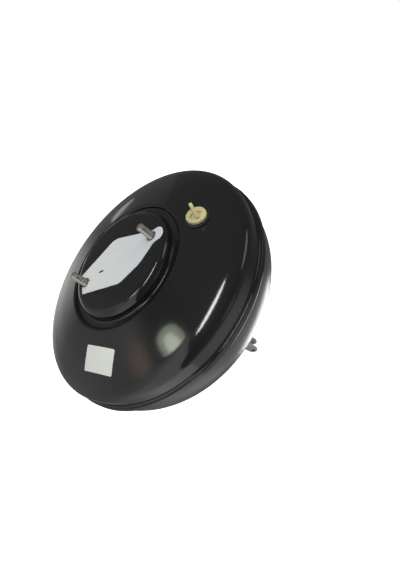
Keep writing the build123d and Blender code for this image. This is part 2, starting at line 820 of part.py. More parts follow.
# ---- Plunger with the socket for the rod's ball --------------------------------------------------
neck_front_y = key_front_y - loose_gap
neck_rear_y = key_front_y + key_sheet + plunger_stroke + loose_gap
collar_front_y = chamber_front_y + plunger_stroke + loose_gap
plunger_front_y = disc_rear_y + plunger_stroke + loose_gap
nose_fit_radius = plunger_nose_radius - running_gap
plunger_corners = [
    (0, plunger_front_y),
    (nose_fit_radius, plunger_front_y),
    (nose_fit_radius, collar_front_y),
    (plunger_collar_radius, collar_front_y),
    (plunger_collar_radius, neck_front_y),
    (plunger_neck_radius, neck_front_y),
    (plunger_neck_radius, neck_rear_y),
    (plunger_radius, neck_rear_y),
    (plunger_radius, plunger_rear_y),
    (0, plunger_rear_y),
]
socket_radius = ball_radius + running_gap
mouth_radius = rod_neck_radius + mouth_play
mouth_y = ball_y + sqrt(socket_radius**2 - mouth_radius**2)
mouth_corners = [
    (0, ball_y),
    (mouth_radius, mouth_y),
    (mouth_radius + mouth_flare, plunger_rear_y),
    (0, plunger_rear_y),
]
with BuildPart() as plunger:
    add(turned_section(plunger_corners))
    revolve(axis=Axis.Y)
    with Locations((0, ball_y, 0)):
        Sphere(socket_radius, mode=Mode.SUBTRACT)
    add(turned_section(mouth_corners))
    revolve(axis=Axis.Y, mode=Mode.SUBTRACT)
save(plunger, "plunger")

# ---- Poppet valve, its retainer, filter and silencer ---------------------------------------------
poppet_face_y = plunger_rear_y + running_gap
poppet_rear_y = poppet_face_y + poppet_face
poppet_corners = [
    (poppet_bore, poppet_face_y),
    (poppet_radius, poppet_face_y),
    (poppet_radius, poppet_bead_y),
    (tube_bore - running_gap, poppet_bead_y),
    (tube_bore - running_gap, poppet_bead_y + poppet_bead),
    (poppet_radius - poppet_wall, poppet_bead_y + poppet_bead),
    (poppet_radius - poppet_wall, poppet_rear_y),
    (poppet_bore, poppet_rear_y),
]
with BuildPart() as poppet:
    add(turned_section(poppet_corners))
    revolve(axis=Axis.Y)
save(poppet, "poppet_valve")

retainer_rear_y = retainer_front_y + retainer_sheet
retainer_corners = [
    (retainer_bore, retainer_front_y),
    (tube_bore, retainer_front_y),
    (tube_bore, retainer_rear_y + retainer_skirt),
    (tube_bore - retainer_sheet, retainer_rear_y + retainer_skirt),
    (tube_bore - retainer_sheet, retainer_rear_y),
    (retainer_bore, retainer_rear_y),
]
with BuildPart() as poppet_retainer:
    add(turned_section(retainer_corners))
    revolve(axis=Axis.Y)
save(poppet_retainer, "poppet_retainer")

filter_rear_y = filter_front_y + filter_depth
with BuildPart() as air_filter:
    add(ring_section(filter_bore, tube_bore, filter_front_y, filter_rear_y))
    revolve(axis=Axis.Y)
save(air_filter, "air_filter")

with BuildPart() as silencer:
    add(ring_section(filter_bore, tube_bore, filter_rear_y, filter_rear_y + silencer_depth))
    revolve(axis=Axis.Y)
save(silencer, "silencer")

# ---- Input rod, turned about its own leaning axis ------------------------------------------------
lean = radians(rod_rest_tilt)
rod_direction = (0, cos(lean), sin(lean))
rod_profile = Plane(origin=(0, ball_y, 0), x_dir=(1, 0, 0), z_dir=(0, -sin(lean), cos(lean)))
rod_plane = Plane(origin=(0, ball_y, 0), x_dir=(1, 0, 0), z_dir=rod_direction)
rod_axis = Axis((0, ball_y, 0), rod_direction)
fork_start = nut_start + nut_height
rod_end = fork_start + fork_sheet
with BuildPart() as input_rod:
    with BuildSketch(rod_profile):
        with BuildLine():
            Polyline(
                (0, 0),
                (rod_neck_radius, 0),
                (rod_neck_radius, rod_neck_end),
                (rod_front_radius, rod_neck_end + rod_taper),
                (rod_front_radius, seat_washer_start + seat_washer_sheet),
                (rod_radius, seat_washer_start + seat_washer_sheet),
                (rod_radius, rod_end - stud_chamfer),
                (rod_radius - stud_chamfer, rod_end),
                (0, rod_end),
                close=True,
            )
        make_face()
    revolve(axis=rod_axis)
    with Locations((0, ball_y, 0)):
        Sphere(ball_radius)
save(input_rod, "input_rod")

with BuildPart() as spring_seat:
    with BuildSketch(rod_plane.offset(seat_washer_start)):
        Circle(seat_washer_radius)
        Circle(rod_front_radius, mode=Mode.SUBTRACT)
    extrude(amount=seat_washer_sheet)
save(spring_seat, "rod_spring_seat")

nut_corner = nut_flats / 2 / cos(radians(30))
nut_bevel = (nut_corner - nut_flats / 2) * tan(radians(30))
with BuildPart() as lock_nut:
    with BuildSketch(rod_plane.offset(nut_start)):
        RegularPolygon(nut_flats / 2, 6, major_radius=False)
        Circle(rod_radius, mode=Mode.SUBTRACT)
    extrude(amount=nut_height)
    with BuildSketch(rod_profile):
        with BuildLine():
            Polyline(
                (0, nut_start),
                (nut_flats / 2, nut_start),
                (nut_corner, nut_start + nut_bevel),
                (nut_corner, fork_start - nut_bevel),
                (nut_flats / 2, fork_start),
                (0, fork_start),
                close=True,
            )
        make_face()
    revolve(axis=rod_axis, mode=Mode.INTERSECT)
save(lock_nut, "lock_nut")

# ---- Clevis: a strip bent to a fork, tapered in side view to a round end -------------------------
fork_half = fork_slot / 2 + fork_sheet
fork_tip = fork_pin_reach + fork_end_radius
fork_line = [
    (-fork_half, fork_tip),
    (-fork_half, fork_start),
    (fork_half, fork_start),
    (fork_half, fork_tip),
]
fork_roll = radians(fork_turn)
pin_direction = Vector(cos(fork_roll), sin(fork_roll) * sin(lean), -sin(fork_roll) * cos(lean))
fork_profile = Plane(
    origin=rod_plane.origin,
    x_dir=pin_direction,
    z_dir=pin_direction.cross(rod_plane.z_dir),
)
fork_side = Plane(origin=rod_plane.origin, x_dir=rod_direction, z_dir=-pin_direction)
with BuildPart() as clevis:
    with BuildSketch(fork_profile):
        with BuildLine():
            fork_edge = FilletPolyline(*fork_line, radius=fork_bend)
            offset(fork_edge, amount=fork_sheet, side=Side.LEFT, closed=True)
        make_face()
    extrude(amount=fork_root_height / 2, both=True)
    with BuildSketch(fork_side):
        with Locations((fork_start + fork_sheet / 2, 0)):
            Rectangle(fork_sheet, fork_root_height)
        with Locations((fork_pin_reach, 0)):
            Circle(fork_end_radius)
        make_hull()
        with Locations((fork_pin_reach, 0)):
            Circle(fork_pin_radius, mode=Mode.SUBTRACT)
    extrude(amount=fork_half, both=True, mode=Mode.INTERSECT)
    with BuildSketch(rod_plane.offset(fork_start)):
        Circle(rod_radius)
    extrude(amount=fork_sheet, mode=Mode.SUBTRACT)
save(clevis, "clevis")

# ---- Springs -------------------------------------------------------------------------------------
rear_ward = Plane(origin=(0, 0, 0), x_dir=(1, 0, 0), z_dir=(0, 1, 0))
rod_coil_tilt = (rod_coil_radius + rod_wire) * sin(lean)
rod_coil_start = (retainer_rear_y + running_gap - ball_y + rod_coil_tilt) / cos(lean)
spring_sizes = {
    "return_spring": (
        return_coil_radius,
        return_wire,
        front_plate_rear_y,
        hub_flange_front_y,
        return_turns,
        rear_ward,
    ),
    "poppet_spring": (
        poppet_coil_radius,
        poppet_wire,
        poppet_rear_y,
        retainer_front_y,
        poppet_turns,
        rear_ward,
    ),
    "rod_return_spring": (
        rod_coil_radius,
        rod_wire,
        rod_coil_start,
        seat_washer_start,
        rod_turns,
        rod_plane,
    ),
}
for spring_name, spring_size in spring_sizes.items():
    path = coil_path(*spring_size)
    with BuildPart() as spring:
        with BuildSketch(Plane(origin=path @ 0, z_dir=path % 0)):
            Circle(spring_size[1])
        sweep(path=path, is_frenet=True)
    save(spring, spring_name)
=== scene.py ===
import math
import bmesh
import bpy
import numpy as np
from mathutils import Matrix, Vector


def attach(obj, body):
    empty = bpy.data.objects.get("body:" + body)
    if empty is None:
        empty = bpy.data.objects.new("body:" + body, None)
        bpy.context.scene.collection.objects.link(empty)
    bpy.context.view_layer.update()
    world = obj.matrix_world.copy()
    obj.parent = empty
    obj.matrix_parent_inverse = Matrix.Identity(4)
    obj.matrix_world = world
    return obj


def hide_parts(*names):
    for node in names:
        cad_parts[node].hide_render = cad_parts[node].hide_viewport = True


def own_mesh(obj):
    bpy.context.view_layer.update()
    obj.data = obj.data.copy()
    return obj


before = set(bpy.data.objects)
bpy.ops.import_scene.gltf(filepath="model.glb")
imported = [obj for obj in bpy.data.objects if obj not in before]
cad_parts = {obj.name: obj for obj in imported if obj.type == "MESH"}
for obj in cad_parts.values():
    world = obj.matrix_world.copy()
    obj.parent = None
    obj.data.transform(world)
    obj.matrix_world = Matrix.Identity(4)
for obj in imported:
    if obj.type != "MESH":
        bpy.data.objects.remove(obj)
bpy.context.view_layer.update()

# ---- Viewpoint -----------------------------------------------------------------------------
# The booster is seen from its master cylinder side, three quarters on and a little from
# above, with the frame leaned over, so that the port's side of the casing is at the right.
camera_place = Vector((0.35827, -0.39249, 0.23057))
camera_azimuth = math.radians(44.17)
camera_elevation = math.radians(20.85)
camera_roll = math.radians(57.54)
camera_lens = 31.58

camera_data = bpy.data.cameras.new("camera")
camera_data.lens = camera_lens
camera_data.sensor_width = 36
camera = bpy.data.objects.new("camera", camera_data)
bpy.context.scene.collection.objects.link(camera)
camera_back = Vector((
    math.sin(camera_azimuth) * math.cos(camera_elevation),
    -math.cos(camera_azimuth) * math.cos(camera_elevation),
    math.sin(camera_elevation),
))
camera_level_right = Vector((math.cos(camera_azimuth), math.sin(camera_azimuth), 0))
camera_level_up = camera_back.cross(camera_level_right)
camera_right = camera_level_right * math.cos(camera_roll) + camera_level_up * math.sin(camera_roll)
camera_up = camera_back.cross(camera_right)
camera.matrix_world = Matrix.Translation(camera_place) @ Matrix(
    (camera_right, camera_up, camera_back)
).transposed().to_4x4()
bpy.context.scene.camera = camera
bpy.context.scene.view_settings.view_transform = "Standard"


# ---- Shader maths ---------------------------------------------------------------------------
# Used by every finish from here on: an expression on sockets adds the nodes that work it out.
class Socket:
    """A shader socket that can be added, taken away, multiplied and compared."""

    def __init__(self, tree, value):
        self.tree = tree
        self.value = value

    def math(self, operation, *others, turned=False):
        values = [self.value] + [o.value if isinstance(o, Socket) else o for o in others]
        if turned:
            values.reverse()
        return self.tree.node("ShaderNodeMath", {"operation": operation}, dict(enumerate(values)))

    def __add__(self, other):
        return self.math("ADD", other)

    def __sub__(self, other):
        return self.math("SUBTRACT", other)

    def __rsub__(self, other):
        return self.math("SUBTRACT", other, turned=True)

    def __mul__(self, other):
        return self.math("MULTIPLY", other)

    def __gt__(self, other):
        return self.math("GREATER_THAN", other)

    __radd__ = __add__
    __rmul__ = __mul__


class Finish:
    """A material with one Principled shader, and one method that makes every other node."""

    def __init__(self, name, world=None):
        self.owner = world or bpy.data.materials.new(name)
        self.owner.use_nodes = True
        self.nodes = self.owner.node_tree.nodes
        self.links = self.owner.node_tree.links
        self.shader = self.nodes.get("Principled BSDF")

    def node(self, kind, settings=None, inputs=None, output=0):
        """Makes a node, sets its settings, then feeds its sockets with values or links."""
        made = self.nodes.new(kind)
        for key, value in (settings or {}).items():
            setattr(made, key, value)
        self.feed(made, inputs or {})
        return Socket(self, made.outputs[output])

    def feed(self, made, inputs):
        for key, value in inputs.items():
            value = value.value if isinstance(value, Socket) else value
            if isinstance(value, bpy.types.NodeSocket):
                self.links.new(value, made.inputs[key])
            elif isinstance(value, tuple) and len(value) == 3 and made.inputs[key].type == "RGBA":
                made.inputs[key].default_value = (*value, 1)
            else:
                made.inputs[key].default_value = value

    def set(self, **inputs):
        """Feeds the Principled shader. A name such as base_color means its Base Color socket."""
        self.feed(self.shader, {k.replace("_", " ").title(): v for k, v in inputs.items()})

    def place(self):
        return self.node("ShaderNodeTexCoord", output=3)

    def noise(self, scale, detail=2.0, roughness=0.5, vector=None):
        return self.node(
            "ShaderNodeTexNoise",
            None,
            {"Vector": vector or self.place(), "Scale": scale, "Detail": detail, "Roughness": roughness},
        )

    def mix(self, factor, first, second):
        return self.node(
            "ShaderNodeMix",
            {"data_type": "RGBA", "clamp_factor": True},
            {0: factor, 6: first, 7: second},
            output=2,
        )

    def bump(self, height, distance, strength):
        inputs = {"Height": height, "Distance": distance, "Strength": strength}
        return self.node("ShaderNodeBump", None, inputs)

    def onto(self, *nodes):
        """Gives the finish to CAD nodes or new pieces."""
        for piece in nodes:
            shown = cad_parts[piece] if isinstance(piece, str) else piece
            shown.data.materials.clear()
            shown.data.materials.append(self.owner)


# ---- Studio ---------------------------------------------------------------------------------
# The part hangs by its bulkhead studs over a white floor, in a dim room with a few soft lamps.
# Gloss paint mirrors the room, so that is told apart from the even light that fills shadows.
floor_drop = 1.0
floor_half = 9.0
fill_light = 0.92
room_dim = 0.12
floor_dim = 0.16
lamp_distance = 1.8


def towards(azimuth, elevation):
    """The unit direction at an azimuth, from -Y round to +X, and an elevation, in degrees."""
    turn, rise = math.radians(azimuth), math.radians(elevation)
    return Vector((math.sin(turn) * math.cos(rise), -math.cos(turn) * math.cos(rise), math.sin(rise)))


world = bpy.data.worlds.new("studio")
bpy.context.scene.world = world
sky = Finish("studio", world)
sky_path = sky.nodes.new("ShaderNodeLightPath")
sky_seen = Socket(sky, sky_path.outputs["Is Camera Ray"])
sky_mirrored = Socket(sky, sky_path.outputs["Is Glossy Ray"])
sky_through = Socket(sky, sky_path.outputs["Is Transmission Ray"])
outlook = sky.node("ShaderNodeTexCoord")


def glow(azimuth, elevation, reach, strength):
    """A soft pale patch of the room: full at its middle and gone `reach` degrees away."""
    facing = sky.node(
        "ShaderNodeVectorMath",
        {"operation": "DOT_PRODUCT"},
        {0: outlook, 1: tuple(towards(azimuth, elevation))},
        output=1,
    )
    return strength * sky.node(
        "ShaderNodeMapRange",
        {"interpolation_type": "SMOOTHSTEP"},
        {"Value": facing, "From Min": math.cos(math.radians(reach)), "From Max": 1.0},
    )


room = room_dim + glow(-15, 0, 55, 0.10) + glow(115, 45, 55, 0.12) + glow(150, 8, 50, 0.60)
indoors = (sky_mirrored + sky_through) * (room - fill_light) + fill_light
sky.feed(
    sky.nodes["Background"],
    {"Color": (1.0, 1.0, 1.0), "Strength": sky_seen * (1.0 - indoors) + indoors},
)

floor_mesh = bpy.data.meshes.new("floor")
floor_mesh.from_pydata(
    [(sx * floor_half, sy * floor_half, -floor_drop) for sx, sy in ((-1, -1), (1, -1), (1, 1), (-1, 1))],
    [],
    [(0, 1, 2, 3)],
)
floor = bpy.data.objects.new("floor", floor_mesh)
bpy.context.scene.collection.objects.link(floor)
pale = Finish("pale_floor")
floor_path = pale.nodes.new("ShaderNodeLightPath")
floor_seen = Socket(pale, floor_path.outputs["Is Camera Ray"])
floor_mirrored = Socket(pale, floor_path.outputs["Is Glossy Ray"])


def pool(x, y, reach, strength):
    """A patch of glow painted on the floor, which only reflections see: full at its middle and gone
    `reach` metres away.
    """
    away = pale.node(
        "ShaderNodeVectorMath",
        {"operation": "DISTANCE"},
        {0: pale.place(), 1: (x, y, -floor_drop)},
        output=1,
    )
    return strength * pale.node(
        "ShaderNodeMapRange",
        {"interpolation_type": "SMOOTHSTEP"},
        {"Value": away, "From Min": reach, "From Max": 0.0},
    )


floor_side = pale.node("ShaderNodeSeparateXYZ", None, {0: pale.place()})
side_sheen = pale.node(
    "ShaderNodeMapRange",
    {"interpolation_type": "SMOOTHSTEP"},
    {"Value": floor_side, "From Min": 0.1, "From Max": 1.3, "To Min": 0.0, "To Max": 1.05},
)
# The floor's glow for glossy rays only: a side sheen, pale pools and a warm brownish pool. These are
# painted reflections that the gloss casing shows, not colours of the floor.
front_pools = pool(-0.15, -1.55, 1.3, 0.42) + pool(0.1, -0.45, 0.9, 0.35)
left_pool = pool(-0.95, 0.1, 0.8, 0.8)
sheen = 0.02 + side_sheen + front_pools + left_pool
warm_pool = pale.mix(pool(0.16, -1.72, 0.55, 1.0), (0.0, 0.0, 0.0), (0.80, 0.50, 0.33))
mirrored_floor = pale.node("ShaderNodeVectorMath", {"operation": "ADD"}, {0: warm_pool, 1: sheen})
pale.set(
    base_color=pale.mix(floor_seen, (floor_dim, floor_dim, floor_dim), (0.90, 0.90, 0.90)),
    roughness=0.9,
    emission_color=pale.mix(
        floor_seen, pale.mix(floor_mirrored, (0.0, 0.0, 0.0), mirrored_floor), (0.75, 0.75, 0.75)
    ),
    emission_strength=1.0,
)
pale.onto(floor)


def lamp(name, glints_at, azimuth, elevation, wide, high, radiance, tint=(1.0, 1.0, 1.0), lean=0.0):
    """A soft oval lamp that stands off a place on the casing in a direction, and faces it.

    Its watts are its radiance times pi times the area of its box.
    """
    data = bpy.data.lights.new(name, "AREA")
    data.shape = "ELLIPSE"
    data.size = wide
    data.size_y = high
    data.color = tint
    data.energy = radiance * math.pi * wide * high
    away = towards(azimuth, elevation)
    made = bpy.data.objects.new(name, data)
    made.matrix_world = (
        Matrix.Translation(Vector(glints_at) + away * lamp_distance)
        @ away.to_track_quat("Z", "Y").to_matrix().to_4x4()
        @ Matrix.Rotation(math.radians(lean), 4, "Z")
    )
    made.visible_camera = False
    bpy.context.scene.collection.objects.link(made)


spot_place = (0.109, -0.094, 0.034)
casing_middle = (0, -0.06, 0)
lamp("strip_lamp", (0.097, -0.091, 0.078), 1, 8, 0.16, 0.95, 17, (0.97, 1.0, 0.95), lean=50)
lamp("round_lamp", spot_place, 1, -16, 0.40, 0.40, 3.2, (0.88, 1.0, 0.78))
lamp("round_lamp_middle", spot_place, 2, -16, 0.22, 0.22, 4.5, (0.92, 1.0, 0.84))
lamp("left_lamp", (-0.086, -0.104, 0.002), -91, -23, 0.10, 0.26, 0.8)
lamp("high_lamp", casing_middle, -20, 68, 1.0, 0.6, 1.4)
lamp("right_lamp", casing_middle, 96, 50, 0.7, 0.7, 0.3)
lamp("back_lamp", casing_middle, 191, 8, 0.85, 0.95, 4.5)

# ---- Front shell ------------------------------------------------------------------------------
# The casing's front half, deep drawn from 1.6 mm steel sheet: a flat plateau for the master
# cylinder, a groove round it, a dome and a flank. Its edge is rolled over the rear shell's
# flange, and both halves are stoved in gloss black.
casing_turns = 288
arc_step = math.radians(6)
front_sheet = 0.0016
rear_face_y = 0.0
rim_radius = 0.136
rim_rear_y = -0.058
rim_front_y = -0.0648
rim_overlap = 0.0026
plateau_y = -0.117
plateau_radius = 0.0605
spigot_radius = 0.0245
spigot_depth = 0.009
groove_depth = 0.0125
groove_draft = 0.0006
groove_width = 0.0080
groove_lip_radius = 0.0713
groove_lip_drop = 0.0084
flank_radius = 0.133
shoulder_radius = 0.1341
crown_width = 0.0341
dome_slope = math.radians(17.0)
shoulder_slope = math.radians(20.3)
turn_in_radius = 0.1242
turn_in_slope = math.radians(33.0)
port_offset = 0.0194
port_hole = 0.0095
stud_neck_radius = 0.0045
front_stud_half = 0.045
piston_axis = Vector((0, 1, 0))


def rounded(points, radii):
    """A line of (radius, y) corners, with an arc that touches both runs at each inner one.

    The arc's middle lies on the corner's bisector, radius / sin(half the corner) from it.
    """
    points = np.array(points, float)
    pieces = [points[:1]]
    for before, corner, after, radius in zip(points, points[1:], points[2:], radii):
        back = (before - corner) / np.linalg.norm(before - corner)
        ahead = (after - corner) / np.linalg.norm(after - corner)
        half = math.acos(np.clip(back @ ahead, -1, 1)) / 2
        bisector = (back + ahead) / np.linalg.norm(back + ahead)
        middle = corner + bisector * radius / math.sin(half)
        first = corner + back * radius / math.tan(half) - middle
        last = corner + ahead * radius / math.tan(half) - middle
        sweep = math.pi - 2 * half
        share = np.linspace(0, 1, int(sweep / arc_step) + 4)[:, None]
        turned_part = first * np.sin((1 - share) * sweep) + last * np.sin(share * sweep)
        pieces.append(middle + turned_part / math.sin(sweep))
    return np.vstack(pieces + [points[-1:]])


def wall(line, thickness):
    """The closed section of a sheet: a line, then back along it a thickness to its left.

    Each inner point lies on its corner's bisector. Where the line turns back on itself, that
    point runs far away, so bends have to fit on the runs between them.
    """
    run = np.diff(line, axis=0)
    run = run / np.linalg.norm(run, axis=1)[:, None]
    both = np.vstack((run[:1], run)) + np.vstack((run, run[-1:]))
    left = np.column_stack((-both[:, 1], both[:, 0])) * 2 / np.sum(both**2, axis=1)[:, None]
    return np.vstack((line, (line + left * thickness)[::-1]))


def revolved(section, turns=casing_turns):
    """Each (radius, y) of a section carried round Y, as (radius sin, y, radius cos)."""
    angle = np.linspace(0, 2 * math.pi, turns, endpoint=False)
    radius, y = section[:, :1], section[:, 1:]
    return np.stack((radius * np.sin(angle), y + 0 * angle, radius * np.cos(angle)), axis=-1)


def skin(name, *grids, rows_meet=False, columns_meet=True, crease=35):
    """A piece from grids of points: each cell between four neighbours is a face.

    Where rows or columns meet, the last joins the first. Points that coincide are merged,
    faces are turned outwards, and edges over `crease` degrees stay sharp.
    """
    points, faces, used = [], [], 0
    for grid in grids:
        cell = np.arange(grid.shape[0] * grid.shape[1]).reshape(grid.shape[:2]) + used
        used += cell.size
        if rows_meet:
            cell = np.vstack((cell, cell[:1]))
        if columns_meet:
            cell = np.hstack((cell, cell[:, :1]))
        corners = (cell[:-1, :-1], cell[1:, :-1], cell[1:, 1:], cell[:-1, 1:])
        faces.append(np.stack(corners, -1).reshape(-1, 4))
        points.append(grid.reshape(-1, 3))
    mesh = bpy.data.meshes.new(name)
    mesh.from_pydata(np.vstack(points), [], np.vstack(faces).tolist())
    shape = bmesh.new()
    shape.from_mesh(mesh)
    bmesh.ops.remove_doubles(shape, verts=shape.verts, dist=1e-6)
    bmesh.ops.recalc_face_normals(shape, faces=shape.faces)
    shape.to_mesh(mesh)
    shape.free()
    mesh.shade_smooth()
    mesh.set_sharp_from_angle(angle=math.radians(crease))
    piece = bpy.data.objects.new(name, mesh)
    bpy.context.scene.collection.objects.link(piece)
    return piece


def bored(piece, holes, axis, depth=0.012, crease=35):
    """Cuts round (middle, radius) holes along an axis, and keeps only the mesh that is left."""
    turn = axis.to_track_quat("Z", "Y").to_matrix().to_4x4()
    shape = bmesh.new()
    for middle, radius in holes:
        bmesh.ops.create_cone(
            shape,
            cap_ends=True,
            segments=64,
            radius1=radius,
            radius2=radius,
            depth=depth,
            matrix=Matrix.Translation(middle) @ turn,
        )
    drill_mesh = bpy.data.meshes.new("drill")
    shape.to_mesh(drill_mesh)
    shape.free()
    drill = bpy.data.objects.new("drill", drill_mesh)
    bpy.context.scene.collection.objects.link(drill)
    cut = piece.modifiers.new("bore", "BOOLEAN")
    cut.object = drill
    cut.operation = "DIFFERENCE"
    cut.solver = "EXACT"
    whole = piece.evaluated_get(bpy.context.evaluated_depsgraph_get())
    kept = bpy.data.meshes.new_from_object(whole)
    piece.modifiers.clear()
    piece.data = kept
    kept.shade_smooth()
    kept.set_sharp_from_angle(angle=math.radians(crease))
    bpy.data.objects.remove(drill)


crown_radius = shoulder_radius - crown_width
crown_y = plateau_y + groove_lip_drop + (crown_radius - groove_lip_radius) * math.tan(dome_slope)
turn_in_y = crown_y + (turn_in_radius - crown_radius) * math.tan(shoulder_slope)
shoulder_y = turn_in_y + (shoulder_radius - turn_in_radius) * math.tan(turn_in_slope)
port_radius = groove_lip_radius + port_offset
port_y = plateau_y + groove_lip_drop + port_offset * math.tan(dome_slope)
port_middle = Vector((0, port_y, port_radius))
port_axis = Vector((0, -math.cos(dome_slope), math.sin(dome_slope)))
# The two bends before the last one, 2.2 and 1.0 mm, overlap by 0.3 mm on their run. The
# wall's inner line runs in to a radius of 65 mm there, which leaves a thin sheet inside.
front_line = rounded(
    [
        (spigot_radius, plateau_y + spigot_depth),
        (spigot_radius, plateau_y),
        (plateau_radius, plateau_y),
        (plateau_radius + groove_draft, plateau_y + groove_depth),
        (plateau_radius + groove_width, plateau_y + groove_depth),
        (groove_lip_radius, plateau_y + groove_lip_drop),
        (crown_radius, crown_y),
        (turn_in_radius, turn_in_y),
        (shoulder_radius, shoulder_y),
        (flank_radius, rim_front_y),
        (rim_radius, rim_front_y),
        (rim_radius, rim_rear_y),
        (rim_radius - rim_overlap, rim_rear_y),
    ],
    [0.003, 0.008, 0.0026, 0.0026, 0.0026, 0.240, 0.056, 0.0092, 0.0022, 0.0010, 0.0015],
)
front_shell = skin("front_shell_skin", revolved(wall(front_line, front_sheet)), rows_meet=True)
bored(front_shell, [(port_middle, port_hole)], port_axis)
front_stud_places = [Vector((0, plateau_y, side * front_stud_half)) for side in (-1, 1)]
bored(front_shell, [(place, stud_neck_radius) for place in front_stud_places], piston_axis)
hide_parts("front_shell")
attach(front_shell, "root")

paint = Finish("black_paint")
peel = paint.noise(380, 2.0)
drift = paint.noise(14, 4.0, 0.6)
dust = paint.noise(950, 1.0) > 0.80
paint.set(
    base_color=paint.mix(
        dust * 0.12,
        paint.mix(drift, (0.0070, 0.0071, 0.0078), (0.0105, 0.0105, 0.0112)),
        (0.10, 0.10, 0.095),
    ),
    roughness=0.075 + drift * 0.04 + dust * 0.1,
    normal=paint.bump(peel, 0.0003, 0.04),
)
paint.onto(front_shell)

# ---- Rear shell -------------------------------------------------------------------------------
# The casing's rear half, drawn from 1.5 mm sheet to a bowl with a flat bulkhead face and a
# neck. Its flange is clamped, with the diaphragm's bead, in the front shell's rolled rim.
rear_sheet = 0.0015
rear_flange_y = rim_rear_y - front_sheet
bowl_radius = 0.1327
knee_radius = 0.1314
knee_y = -0.0312
face_radius = 0.0998
neck_radius = 0.033
neck_end_y = 0.022
rear_line = rounded(
    [
        (rim_radius - front_sheet - 0.0002, rear_flange_y),
        (bowl_radius, rear_flange_y),
        (knee_radius, knee_y),
        (face_radius, rear_face_y),
        (neck_radius, rear_face_y),
        (neck_radius, neck_end_y),
    ],
    [0.0004, 0.058, 0.022, 0.0035],
)
rear_shell = skin("rear_shell_skin", revolved(wall(rear_line, rear_sheet)), rows_meet=True)
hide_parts("rear_shell")
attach(rear_shell, "root")
# The rear paint's grey, several times lighter than the front shell's black, is a painted sheen. It
# stands in for the grey reflection that the gloss bowl shows at grazing angles. The haze mottles that
# grey and also varies the roughness.
rear_paint = Finish("rear_black_paint_painted_sheen")
haze_and_painted_sheen = rear_paint.noise(30, 4.0, 0.65)
grit = rear_paint.noise(1100, 2.0)
rear_paint.set(
    base_color=rear_paint.mix(haze_and_painted_sheen, (0.036, 0.036, 0.037), (0.058, 0.057, 0.057)),
    roughness=0.24 + haze_and_painted_sheen * 0.12,
    normal=rear_paint.bump(grit, 0.00003, 0.5),
)
rear_paint.onto(rear_shell)

# ---- Studs and the plates that carry them -------------------------------------------------------
# Two M8 studs hold the master cylinder and four hold the casing to the bulkhead. Each has a
# flat head and a knurled neck, pressed through a ring plate inside the shell and the shell.
thread_pitch = 0.00125
thread_depth = 0.00068
thread_rows = 8
thread_turns = 40
thread_slope = 1.2
thread_flat = 0.1
stud_radius = 0.004
stud_head_radius = 0.007
stud_head_height = 0.003
stud_chamfer = 0.0009
front_stud_length = 0.018
front_plate_sheet = 0.003
rear_stud_length = 0.026
rear_stud_half_x = 0.043
rear_stud_half_z = 0.035
rear_plate_sheet = 0.0025


def threaded(rows, start, direction):
    """A bar along a direction from a start, with a screw thread cut into it.

    Rows are (reach, radius, depth of the thread there). The radius there falls by that depth
    times a triangle wave, clipped flat at root and crest, of the reach over the pitch less
    the share of a turn. A row's own radius caps it, which makes the chamfer.
    """
    reach, base, depth = (column[:, None] for column in np.array(rows).T)
    angle = np.linspace(0, 2 * math.pi, thread_turns, endpoint=False)
    phase = (reach / thread_pitch - angle / (2 * math.pi)) % 1.0
    groove = np.clip(thread_slope * np.abs(2 * phase - 1) - thread_flat, 0, 1)
    radius = np.minimum(base, stud_radius_of(base, depth) - depth * groove)
    across = direction.orthogonal().normalized()
    over = direction.cross(across)
    ring = np.cos(angle)[:, None] * np.array(across) + np.sin(angle)[:, None] * np.array(over)
    return np.array(start) + reach[..., None] * np.array(direction) + radius[..., None] * ring


def stud_radius_of(base, depth):
    """The outer radius that a thread is cut from: the bar's widest threaded row."""
    return np.where(depth > 0, base[depth > 0].max() if (depth > 0).any() else 0, base)


def thread_run(first, last, radius, chamfer):
    """Rows of a thread from first to last reach, with a chamfer at its far end."""
    count = int((last - first) / thread_pitch * thread_rows)
    reach = np.linspace(first, last, count)
    base = np.minimum(radius, radius - chamfer + (last - reach))
    return np.column_stack((reach, base, np.full(count, thread_depth)))


def stud(x, z, face_y, length, outward, grip):
    """One stud: its head inside, its neck through plate and sheet, and its thread outside."""
    neck_start = stud_head_height
    neck_end = stud_head_height + grip
    tip = neck_end + length
    rows = np.vstack((
        [
            (0, 0, 0),
            (0, stud_head_radius, 0),
            (neck_start, stud_head_radius, 0),
            (neck_start, stud_neck_radius, 0),
            (neck_end, stud_neck_radius, 0),
        ],
        thread_run(neck_end, tip, stud_radius, stud_chamfer),
        [(tip, 0, 0)],
    ))
    return threaded(rows, (x, face_y - outward * neck_end, z), Vector((0, outward, 0)))


front_grip = front_plate_sheet + front_sheet
front_studs = skin(
    "master_cylinder_stud_pair",
    *(
        stud(0, side * front_stud_half, plateau_y, front_stud_length, -1, front_grip)
        for side in (-1, 1)
    ),
    crease=60,
)
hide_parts("master_cylinder_studs")
rear_grip = rear_plate_sheet + rear_sheet
rear_studs = skin(
    "bulkhead_stud_set",
    *(
        stud(sx * rear_stud_half_x, sz * rear_stud_half_z, rear_face_y, rear_stud_length, 1, rear_grip)
        for sx in (-1, 1)
        for sz in (-1, 1)
    ),
    crease=60,
)
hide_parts("bulkhead_studs")
zinc = Finish("zinc")
bloom = zinc.noise(260, 4.0, 0.6)
stain = zinc.noise(70, 3.0)
zinc.set(
    base_color=zinc.mix(
        stain,
        zinc.mix(bloom, (0.34, 0.335, 0.32), (0.60, 0.60, 0.58)),
        (0.46, 0.44, 0.38),
    ),
    metallic=0.9,
    roughness=0.20 + bloom * 0.14,
    normal=zinc.bump(bloom, 0.0002, 0.25),
)
for studs in (front_studs, rear_studs):
    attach(studs, "root")
    zinc.onto(studs)

